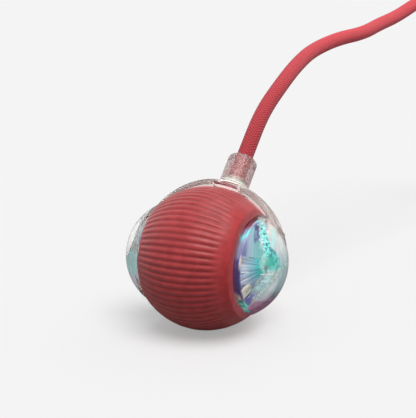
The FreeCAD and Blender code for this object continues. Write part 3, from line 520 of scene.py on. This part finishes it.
for side, node in ((1.0, "dome_right"), (-1.0, "dome_left")):
    # Polycarbonate: clear and glossy, and milky on its inner face, where the parts behind it are
    # painted as refracted colour. The haze covers the near half of the inner face, and a plum foot shows
    # low down in the wall's outline.
    right = side > 0
    dome, shader = blank("polycarbonate_" + node)
    across = towards(dome, to_right)
    rise = towards(dome, to_top)
    fore = towards(dome, to_front)
    flat = add(dome, "CombineXYZ", (across, rise))
    along, radius, turn, _, _ = about_axle(dome)
    outward = add(dome, "Math", (along, side), operation="MULTIPLY")
    turned = add(dome, "MapRange", (turn, -math.pi, math.pi))
    middle = side * dome_middle
    reach = add(dome, "VectorMath", (in_mm(dome), (middle, 0.0, axle_height)),
                operation="DISTANCE")
    near = add(dome, "Math", (fore, middle * to_front[0]), operation="SUBTRACT")
    beside = add(dome, "VectorMath", (flat, (middle * to_right[0], middle * to_top[0], 0.0)),
                 operation="DISTANCE")
    inner_face = add(dome, "MapRange", (reach, dome_bore + 0.06, dome_bore + 0.01))
    foot = within(dome, (beside, dome_bore - 0.1, None, 0.1), (rise, None, -10.5, 1.5))
    lining = add(dome, "Math", (inner_face, foot), operation="MAXIMUM")
    lining = add(dome, "Math", (lining, within(dome, (near, -0.2, None, 0.3))), operation="MULTIPLY")

    # Seen from the front the tint, a painted refraction of the parts behind the wall, turns from plum
    # or lavender at the foot through teal to a warm grey at the top, under upright streaks, and dark
    # specks lie in the left dome's upper part
    height = add(dome, "MapRange", (rise, -16.0, 14.0))
    cell = add(dome, "TexVoronoi", {"Vector": in_mm(dome), "Scale": 1.7}, output="Color")
    if right:
        tint = add(dome, "ValToRGB", (height,), stops=(
            (0.0, "#bc7aa2"), (0.13, "#b0749a"), (0.21, "#7098a2"), (0.42, "#70a2ab"),
            (0.55, "#88b1b8"), (0.66, "#b7c6c8"), (0.8, "#dacfcb"), (1.0, "#e2d8d3")))
        thick = add(dome, "ValToRGB", (height,), stops=(
            (0.0, "#f8f8f8"), (0.22, "#ececec"), (0.5, "#e2e2e2"), (0.66, "#c4c4c4"),
            (1.0, "#b8b8b8")))
    else:
        tint = add(dome, "ValToRGB", (height,), stops=(
            (0.2, "#a0a2bc"), (0.34, "#b4b2c8"), (0.42, "#7cc2c2"), (0.58, "#78b6b6"),
            (0.66, "#7a8c86"), (0.9, "#7e7e79"), (1.0, "#989590")))
        thick = add(dome, "ValToRGB", (height,), stops=(
            (0.0, "#dedede"), (0.6, "#e8e8e8"), (1.0, "#dcdcdc")))
        specks = within(dome, (cell, None, 0.39, 0.05), (rise, 2.0, 10.0, 1.0))
        tint = add(dome, "Mix", (specks, tint, colour("#2b3340")), data_type="RGBA")
    drawn = add(dome, "VectorMath", (in_mm(dome), (1.1, 1.1, 0.12)), operation="MULTIPLY")
    line = add(dome, "TexNoise", {"Vector": drawn, "Scale": 1.0, "Detail": 3.0})
    streaks = add(dome, "ValToRGB", (line,), stops=(
        (0.35, "#808588"), (0.5, "#a5a5a5"), (0.65, "#e2e2e2")))
    tint = add(dome, "Mix", (0.5, tint, streaks), data_type="RGBA", blend_type="OVERLAY")

    # The left dome's haze stops at a slanting line. On the right a band of bright flakes, painted
    # sparkle, falls from the rim and widens towards a green glow of the lamp painted on the inner face, a
    # beaded line runs on from there down to the left, thin painted glints cross the window, and the haze
    # lies outside them all.
    if right:
        drop = add(dome, "Math", (add(dome, "Math", (9.9, rise), operation="SUBTRACT"), 0.0),
                   operation="MAXIMUM")
        lower = add(dome, "Math", (add(dome, "Math", (4.0, rise), operation="SUBTRACT"), 0.0),
                    operation="MAXIMUM")
        band_place = add(dome, "Math", (drop, 0.2, 15.7), operation="MULTIPLY_ADD")
        band_place = add(dome, "Math", (lower, 0.32, band_place), operation="MULTIPLY_ADD")
        band_width = add(dome, "Math", (drop, 0.08, 1.2), operation="MULTIPLY_ADD")
        band_width = add(dome, "Math", (lower, 0.2, band_width), operation="MULTIPLY_ADD")
        past = add(dome, "Math", (across, band_place), operation="SUBTRACT")
        depth = add(dome, "Math", (band_width, add(dome, "Math", (past,), operation="ABSOLUTE")),
                    operation="SUBTRACT")
        patchy = add(dome, "TexNoise", {"Vector": in_mm(dome), "Scale": 1.0 / 0.9, "Detail": 3.0})
        ragged = add(dome, "Math", (patchy, 2.7, depth), operation="MULTIPLY_ADD")
        flakes = within(dome, (rise, -2.6, 9.9, 1.4), (across, None, 19.8, 1.6))
        flakes = add(dome, "Math", (add(dome, "MapRange", (ragged, 1.35, 2.25, 0.0, 0.9)), flakes),
                     operation="MULTIPLY")
        spark = add(dome, "ValToRGB", (cell,), stops=(
            (0.15, "#16324c"), (0.35, "#1f6f7c"), (0.5, "#30a9a6"), (0.65, "#4fc6bd"),
            (0.8, "#70c6c0"), (0.95, "#b4d8d5")))

        # Painted light: the lamp's green glow as a halo on the dome's inner face, dark at its pupil.
        from_glow = add(dome, "VectorMath", (flat, (17.9, -0.8, 0.0)), operation="DISTANCE")
        halo = add(dome, "MapRange", (from_glow, 3.4, 1.0, 0.0, 0.93))
        from_pupil = add(dome, "VectorMath", (flat, (16.8, -2.3, 0.0)), operation="DISTANCE")
        pupil = add(dome, "MapRange", (from_pupil, 1.1, 0.6))
        green = add(dome, "Mix", (pupil, colour("#08907e"), colour("#15525a")), data_type="RGBA")
        beyond = past_line(dome, flat, (21.7, -1.6), (0.753, -0.658))
        trail = within(dome, (beyond, -2.2, 0.2, 0.9), (rise, -8.0, -2.4, 1.6))
        teal = add(dome, "ValToRGB", (cell,), stops=((0.2, "#2f8f8a"), (0.5, "#49aea6"), (0.8, "#86cfc8")))
        # Painted highlights: thin white glints across the window.
        painted_glints = 0.0
        for start, end, level in ((15.3, 18.0, -3.85), (15.3, 16.9, -5.75), (9.9, 12.0, -3.15)):
            painted_glint = within(dome, (across, start, end, 0.3), (rise, level, level + 0.2, 0.1))
            painted_glints = add(dome, "Math", (painted_glints, painted_glint), operation="MAXIMUM")
        bead = add(dome, "TexVoronoi", {"Vector": in_mm(dome), "Scale": 1.6, "Randomness": 0.4},
                   output="Distance")
        bead = add(dome, "MapRange", (bead, 0.42, 0.32))
        beads = add(dome, "Mix", (bead, colour("#7b9a90"), colour("#d8ebe0")), data_type="RGBA")
        string = within(dome, (beyond, 0.0, 0.6, 0.15), (rise, -10.6, -1.2, 0.4))
        # Painted highlight: a teal streak along the dome's right edge.
        gleam = within(dome, (across, 18.7, 19.5, 0.4), (rise, 4.0, 8.0, 1.0))

        # The pupil's own colour is part of the glow's green, so it only makes the place solid
        band = flakes
        for mark, share, paint in ((halo, 1.0, green), (trail, 0.55, teal),
                                   (painted_glints, 0.45, colour("#e4f2f2")), (string, 0.8, beads),
                                   (gleam, 0.5, colour("#4fbdb6")), (pupil, 0.85, None)):
            if paint is not None:
                spark = add(dome, "Mix", (mark, spark, paint), data_type="RGBA")
            mark = add(dome, "Math", (mark, share), operation="MULTIPLY")
            band = add(dome, "Math", (band, mark), operation="MAXIMUM")
        band = add(dome, "Math", (band, lining), operation="MULTIPLY")

        bare = within(dome, (across, None, 17.0, 0.6), (rise, 9.0, None, 0.8))
        above = within(dome, (past, -0.3, None, 1.2), (rise, -2.0, None, 1.0))
        above = add(dome, "Math", (above, add(dome, "Math", (1.0, bare), operation="SUBTRACT")),
                    operation="MULTIPLY")
        steep = past_line(dome, flat, (21.7, -1.9), (0.93, -0.37))
        below = add(dome, "MapRange", (beyond, -0.2, 0.4, 0.0, 0.6))
        for zone in (within(dome, (steep, 0.2, None, 0.6)),
                     within(dome, (beyond, 0.4, None, 0.4), (rise, None, -11.6, 0.8))):
            below = add(dome, "Math", (below, zone), operation="MAXIMUM")
        below = add(dome, "Math", (below, within(dome, (rise, None, -1.0, 1.0))),
                    operation="MULTIPLY")
        outside = add(dome, "Math", (above, below), operation="MAXIMUM")
    else:
        band = 0.0
        outside = within(dome, (past_line(dome, flat, (0.0, 0.0), (1.0, -0.372)), -22.9, None, 0.3))
    haze = add(dome, "Math", (add(dome, "Math", (lining, thick), operation="MULTIPLY"), outside),
               operation="MULTIPLY")

    # The neck inside the tyre's lip carries painted reflections of the light parts with cyan highlights,
    # and the flange over it stays clear
    neck = within(dome, (outward, 5.0, 16.15, 0.05), (radius, 11.0, 12.9, 0.03))
    gap = add(dome, "Math", (1.0, within(dome, (turned, 0.6, 0.88, 0.03))), operation="SUBTRACT")
    neck = add(dome, "Math", (neck, gap), operation="MULTIPLY")
    if right:
        hoop = add(dome, "ValToRGB", (turned,), stops=(
            (0.0, "#57c9c4"), (0.05, "#b4e6e2"), (0.08, "#4fbfb4"), (0.1, "#93d8ce"),
            (0.12, "#2f7f88"), (0.14, "#cfc0b2"), (0.17, "#5a4b7c"), (0.26, "#54497e"),
            (0.3, "#5a558a"), (0.32, "#8c8eac"), (0.37, "#9296b2"), (0.4, "#7fd4d8"),
            (0.43, "#9296b2"), (0.47, "#8a4452"), (0.6, "#8c3038"), (0.92, "#4a6cc0"),
            (1.0, "#57c9c4")))
        # Painted shade: a dark red edge, the tyre's lip in shadow as if seen through the neck.
        edge = add(dome, "Math", (within(dome, (radius, 12.5, 12.9, 0.05)), 0.8),
                   operation="MULTIPLY")
        hoop = add(dome, "Mix", (edge, hoop, colour("#7d2f3a")), data_type="RGBA")
        spark = add(dome, "Mix", (neck, spark, hoop), data_type="RGBA")
    else:
        spark = colour("#8fb6ba")
    band = add(dome, "Math", (band, neck), operation="MAXIMUM")
    flange = within(dome, (outward, 5.0, 16.3, 0.1), (radius, 12.9, 20.0, 0.1))
    no_haze = add(dome, "Math", (1.0, haze), operation="SUBTRACT")
    no_band = add(dome, "Math", (1.0, band), operation="SUBTRACT")
    body = add(dome, "Mix", (haze, colour("#f8f8f7"), tint), data_type="RGBA")
    # The band's marks glow through their emission, painted light.
    plug(shader, {
        "Base Color": add(dome, "Mix", (band, body, spark), data_type="RGBA"),
        "Roughness": add(dome, "Math", (haze, 0.5, 0.02), operation="MULTIPLY_ADD"),
        "Transmission Weight": add(dome, "Math", (no_haze, no_band), operation="MULTIPLY"),
        "Alpha": add(dome, "Math", (flange, -0.95, 1.0), operation="MULTIPLY_ADD"),
        "Emission Strength": add(dome, "Math", (band, 0.25), operation="MULTIPLY"),
        "Emission Color": spark, "IOR": 1.2})
    let_light_through(dome, shader)
    dress(dome, node)

# The cowl's polycarbonate is clear and ripples a little, with soft frosted specks on its collar. Along
# the tread's crest its edge carries a painted white highlight that glows, under a dark red line painted
# as the tread's refraction, and a line of light and dark flecks of painted refraction runs on from it.
cowl, shader = blank("polycarbonate_cowl")
tail_angle = math.radians(43.5)
along = towards(cowl, (0.0, math.cos(tail_angle), math.sin(tail_angle)))
across = towards(cowl, to_right)
rise = towards(cowl, to_top)
fore = towards(cowl, to_front)
beside = add(cowl, "VectorMath", (add(cowl, "CombineXYZ", (across, rise)),), operation="LENGTH")
frost = add(cowl, "MapRange", (along, 25.2, 27.0))
patchy = add(cowl, "TexNoise", {"Vector": in_mm(cowl), "Scale": 1.0 / 0.8, "Detail": 3.0})
specks = add(cowl, "ValToRGB", (patchy,), stops=((0.34, "#b49292"), (0.5, "#cdb6b4"), (0.66, "#e6d8d6")))
foot = within(cowl, (along, 23.9, 26.3, 0.4))
body = add(cowl, "Mix", (foot, colour("#f8eeea"), colour("#fafdfb")), data_type="RGBA")
body = add(cowl, "Mix", (frost, body, specks), data_type="RGBA")
crest = add(cowl, "Math", (beside, add(cowl, "Math", (fore, -0.0033, 1.0), operation="MULTIPLY_ADD")),
            operation="DIVIDE")
slope = add(cowl, "Math", (across, 0.14, -8.0 * 0.14), operation="MULTIPLY_ADD")
sloping = add(cowl, "Math", (crest, slope), operation="ADD")
behind = (fore, -14.0, 0.6, 0.4)
# Painted along the edge: a glowing white highlight, the tread's red refraction and refraction flecks.
gleam = within(cowl, (crest, 21.5, 22.05, 0.12), (across, 3.2, 9.2, 0.8), behind)
painted_red_refraction = within(cowl, (crest, 22.4, 22.75, 0.12), (across, 2.6, 10.0, 0.6), behind)
painted_refraction_flecks = within(cowl, (sloping, 21.2, 21.8, 0.1), (across, 8.2, 17.5, 0.8), behind)
cell = add(cowl, "TexVoronoi", {"Vector": in_mm(cowl), "Scale": 1.2}, output="Color")
painted_refraction_tone = add(cowl, "ValToRGB", (cell,), stops=((0.3, "#3b302c"), (0.5, "#b5a596"), (0.7, "#f4efe8")))
solid = 0.0
for mark, share, paint in ((painted_refraction_flecks, 1.0, painted_refraction_tone), (painted_red_refraction, 0.8, colour("#8a3440")),
                           (gleam, 1.0, colour("#f6f6f4"))):
    body = add(cowl, "Mix", (mark, body, paint), data_type="RGBA")
    mark = add(cowl, "Math", (mark, share), operation="MULTIPLY")
    solid = add(cowl, "Math", (solid, mark), operation="MAXIMUM")
clear = add(cowl, "Math", (frost, -0.06, 0.84), operation="MULTIPLY_ADD")
not_solid = add(cowl, "Math", (1.0, solid), operation="SUBTRACT")
ripple = add(cowl, "TexNoise", {"Vector": in_mm(cowl), "Scale": 1.0 / 0.6, "Detail": 3.0})
# The gleam's emission is painted light.
plug(shader, {
    "Base Color": body, "IOR": 1.25,
    "Roughness": add(cowl, "Math", (frost, 0.08, 0.04), operation="MULTIPLY_ADD"),
    "Transmission Weight": add(cowl, "Math", (clear, not_solid), operation="MULTIPLY"),
    "Normal": add(cowl, "Bump", {"Height": ripple, "Distance": 0.000008}),
    "Emission Color": colour("#ffffff"),
    "Emission Strength": add(cowl, "Math", (gleam, 0.5), operation="MULTIPLY")})
let_light_through(cowl, shader)
dress(cowl, "tail_cowl")

# Mint acetal: the plug and the retainer look pale and waxy at the collar's foot
dress(moulded("acetal_mint", "#dcf5e8", "#cfe9dc", 0.4), "tail_plug", "tail_retainer")


# Rope tail. A red polyester braid over a soft core, 5.2 mm across. It comes up out of the collar,
# runs off over the table and comes down on it further back, where it ends in a moulded sleeve.
rope_diameter = 0.0052
rope_route = (
    (0.0, 0.020746, 0.041187), (0.0, 0.029740, 0.049723), (-0.0005, 0.043, 0.0605),
    (0.0005, 0.0585, 0.069), (0.0, 0.073, 0.074), (0.0, 0.088, 0.078),
    (0.004, 0.1045, 0.0815), (0.009, 0.1205, 0.083), (0.011, 0.1355, 0.086),
    (0.0135, 0.151, 0.0885), (0.019, 0.1685, 0.095), (0.022, 0.184, 0.0955),
    (0.024, 0.1985, 0.088), (0.025, 0.208, 0.075), (0.0255, 0.213, 0.059),
    (0.026, 0.2165, 0.0425), (0.0275, 0.2215, 0.027), (0.0295, 0.231, 0.0135),
    (0.031, 0.2445, 0.0055), (0.033, 0.260, 0.0034), (0.035, 0.2735, 0.0034),
)
rope_sides = 40
braid_strands = 12
braid_lay = 0.013

line = bpy.data.curves.new("rope_line", "CURVE")
line.dimensions = "3D"
line.resolution_u = 40
spline = line.splines.new("NURBS")
spline.points.add(len(rope_route) - 1)
for control, place in zip(spline.points, rope_route):
    control.co = (*place, 1.0)
spline.order_u = 3
spline.use_endpoint_u = True
guide = bpy.data.objects.new("rope_line", line)
read = bpy.data.meshes.new_from_object(guide)
rope_path = [vertex.co.copy() for vertex in read.vertices]
bpy.data.meshes.remove(read)
bpy.data.objects.remove(guide)

shape = bmesh.new()
shape.loops.layers.uv.new("braid")
uv = shape.loops.layers.uv["braid"]
rings = []
covered = 0.0
side = Vector((1.0, 0.0, 0.0))
for number, place in enumerate(rope_path):
    ahead = rope_path[min(number + 1, len(rope_path) - 1)] - rope_path[max(number - 1, 0)]
    ahead.normalize()
    side = (side - ahead * side.dot(ahead)).normalized()
    other = ahead.cross(side)
    covered += (place - rope_path[max(number - 1, 0)]).length
    ring = []
    for step in range(rope_sides):
        turn = 2.0 * math.pi * step / rope_sides
        spoke = side * math.cos(turn) + other * math.sin(turn)
        ring.append(shape.verts.new(place + spoke * rope_diameter / 2.0))
    rings.append((ring, covered))
for (first, low), (second, high) in zip(rings, rings[1:]):
    for step in range(rope_sides):
        after = (step + 1) % rope_sides
        face = shape.faces.new((first[step], first[after], second[after], second[step]))
        for loop, (turn, length) in zip(face.loops, ((step, low), (step + 1, low),
                                                     (step + 1, high), (step, high))):
            loop[uv].uv = (turn / rope_sides, length / braid_lay)
shape.faces.new(tuple(reversed(rings[0][0])))
shape.faces.new(tuple(rings[-1][0]))
bmesh.ops.recalc_face_normals(shape, faces=shape.faces)
mesh = bpy.data.meshes.new("tail_rope")
shape.to_mesh(mesh)
shape.free()
mesh.shade_smooth()
rope = bpy.data.objects.new("tail_rope", mesh)
scene.collection.objects.link(rope)

# Polyester yarn: two sets of strands cross over and under each other, with painted shade in the gaps
# between, and a soft sheen. The braid is painted paler away from the ball, painted light for the
# stronger light there.
yarn, shader = blank("polyester_braid_red")
braid = add(yarn, "UVMap", uv_map="braid")
around = add(yarn, "SeparateXYZ", (braid,), output="X")
lengthwise = add(yarn, "SeparateXYZ", (braid,), output="Y")
cells = []
ridges = []
for operation in ("ADD", "SUBTRACT"):
    strand = add(yarn, "Math", (around, lengthwise), operation=operation)
    strand = add(yarn, "Math", (strand, braid_strands), operation="MULTIPLY")
    cells.append(add(yarn, "Math", (strand,), operation="FLOOR"))
    part = add(yarn, "Math", (strand, 1.0), operation="FLOORED_MODULO")
    part = add(yarn, "Math", (part, math.pi), operation="MULTIPLY")
    ridges.append(add(yarn, "Math", (part,), operation="SINE"))
over = add(yarn, "Math", (add(yarn, "Math", cells, operation="ADD"), 2.0),
           operation="FLOORED_MODULO")
rises = []
for crown, run in (ridges, ridges[::-1]):
    crown = add(yarn, "Math", (crown, 0.6), operation="POWER")
    run = add(yarn, "Math", (run, 0.5, 0.5), operation="MULTIPLY_ADD")
    rises.append(add(yarn, "Math", (crown, run), operation="MULTIPLY"))
height = add(yarn, "Mix", (over, *rises))
# Painted shade darkens the gaps, and the far tones are painted lighter, painted light.
tones = [add(yarn, "ValToRGB", (height,), stops=stops) for stops in (
    ((0.0, "#7e1f28"), (0.35, "#ae2a34"), (1.0, "#ce3944")),
    ((0.0, "#c03b45"), (0.35, "#ee4650"), (1.0, "#ff5a64")))]
far = add(yarn, "MapRange", (lengthwise, 1.0, 7.0))
plug(shader, {
    "Base Color": add(yarn, "Mix", (far, *tones), data_type="RGBA"),
    "Roughness": 0.7, "Sheen Weight": 0.4, "Sheen Roughness": 0.4, "Sheen Tint": colour("#ffb9c0"),
    "Normal": add(yarn, "Bump", {"Height": height, "Distance": 0.00025})})
rope.data.materials.append(yarn)
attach(rope, "shell")
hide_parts("tail_cord")

# Soft vinyl: a half-matt red sleeve a shade darker than the braid
dress(moulded("vinyl_red", "#a8323a", "#972b33", 0.45), "tail_tip")
